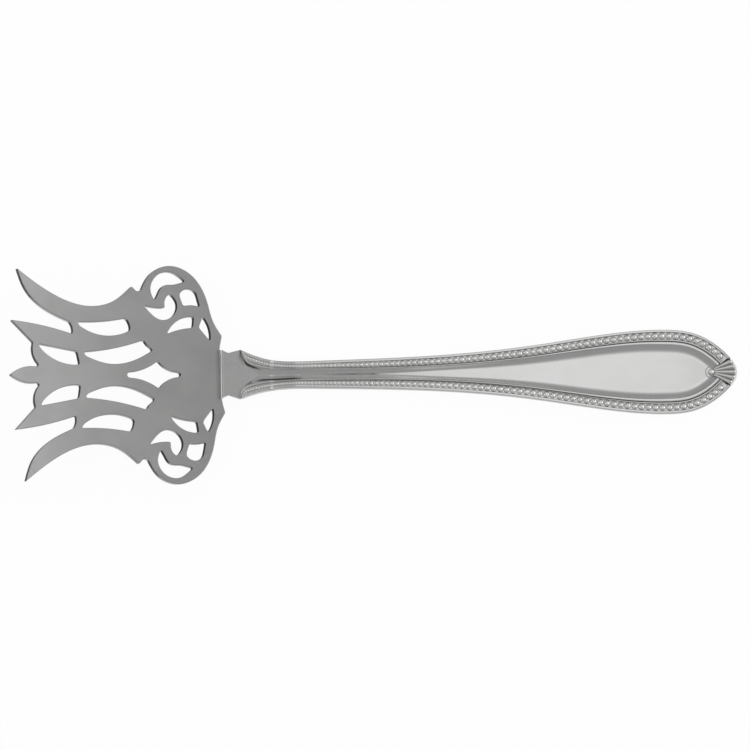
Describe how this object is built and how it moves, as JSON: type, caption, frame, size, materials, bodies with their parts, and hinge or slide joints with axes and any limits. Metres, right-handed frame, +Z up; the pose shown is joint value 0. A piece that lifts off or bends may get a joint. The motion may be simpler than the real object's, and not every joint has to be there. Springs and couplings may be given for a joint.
{
  "type": "sardine fork",
  "caption": "Serving fork with a wide pierced and scrolled head of five pointed tines, lap soldered to a beaded handle that swells to a pointed, fluted end.",
  "frame": {"origin": "under the middle of the fork's box, on the surface that it rests on", "axes": "+X from the tines to the handle's end, +Y across the tines, +Z up, away from the surface that it rests on"},
  "size_m": [0.1552, 0.0476, 0.022],
  "materials": {
    "satin_silver": "sawn silver sheet with a fine satin brushing, dark in the sawn walls",
    "polished_silver": "struck silver, polished with light tarnish in the recesses"
  },
  "bodies": {
    "root": {"pierced_head": "satin_silver", "beaded_handle": "polished_silver"}
  },
  "joints": []
}
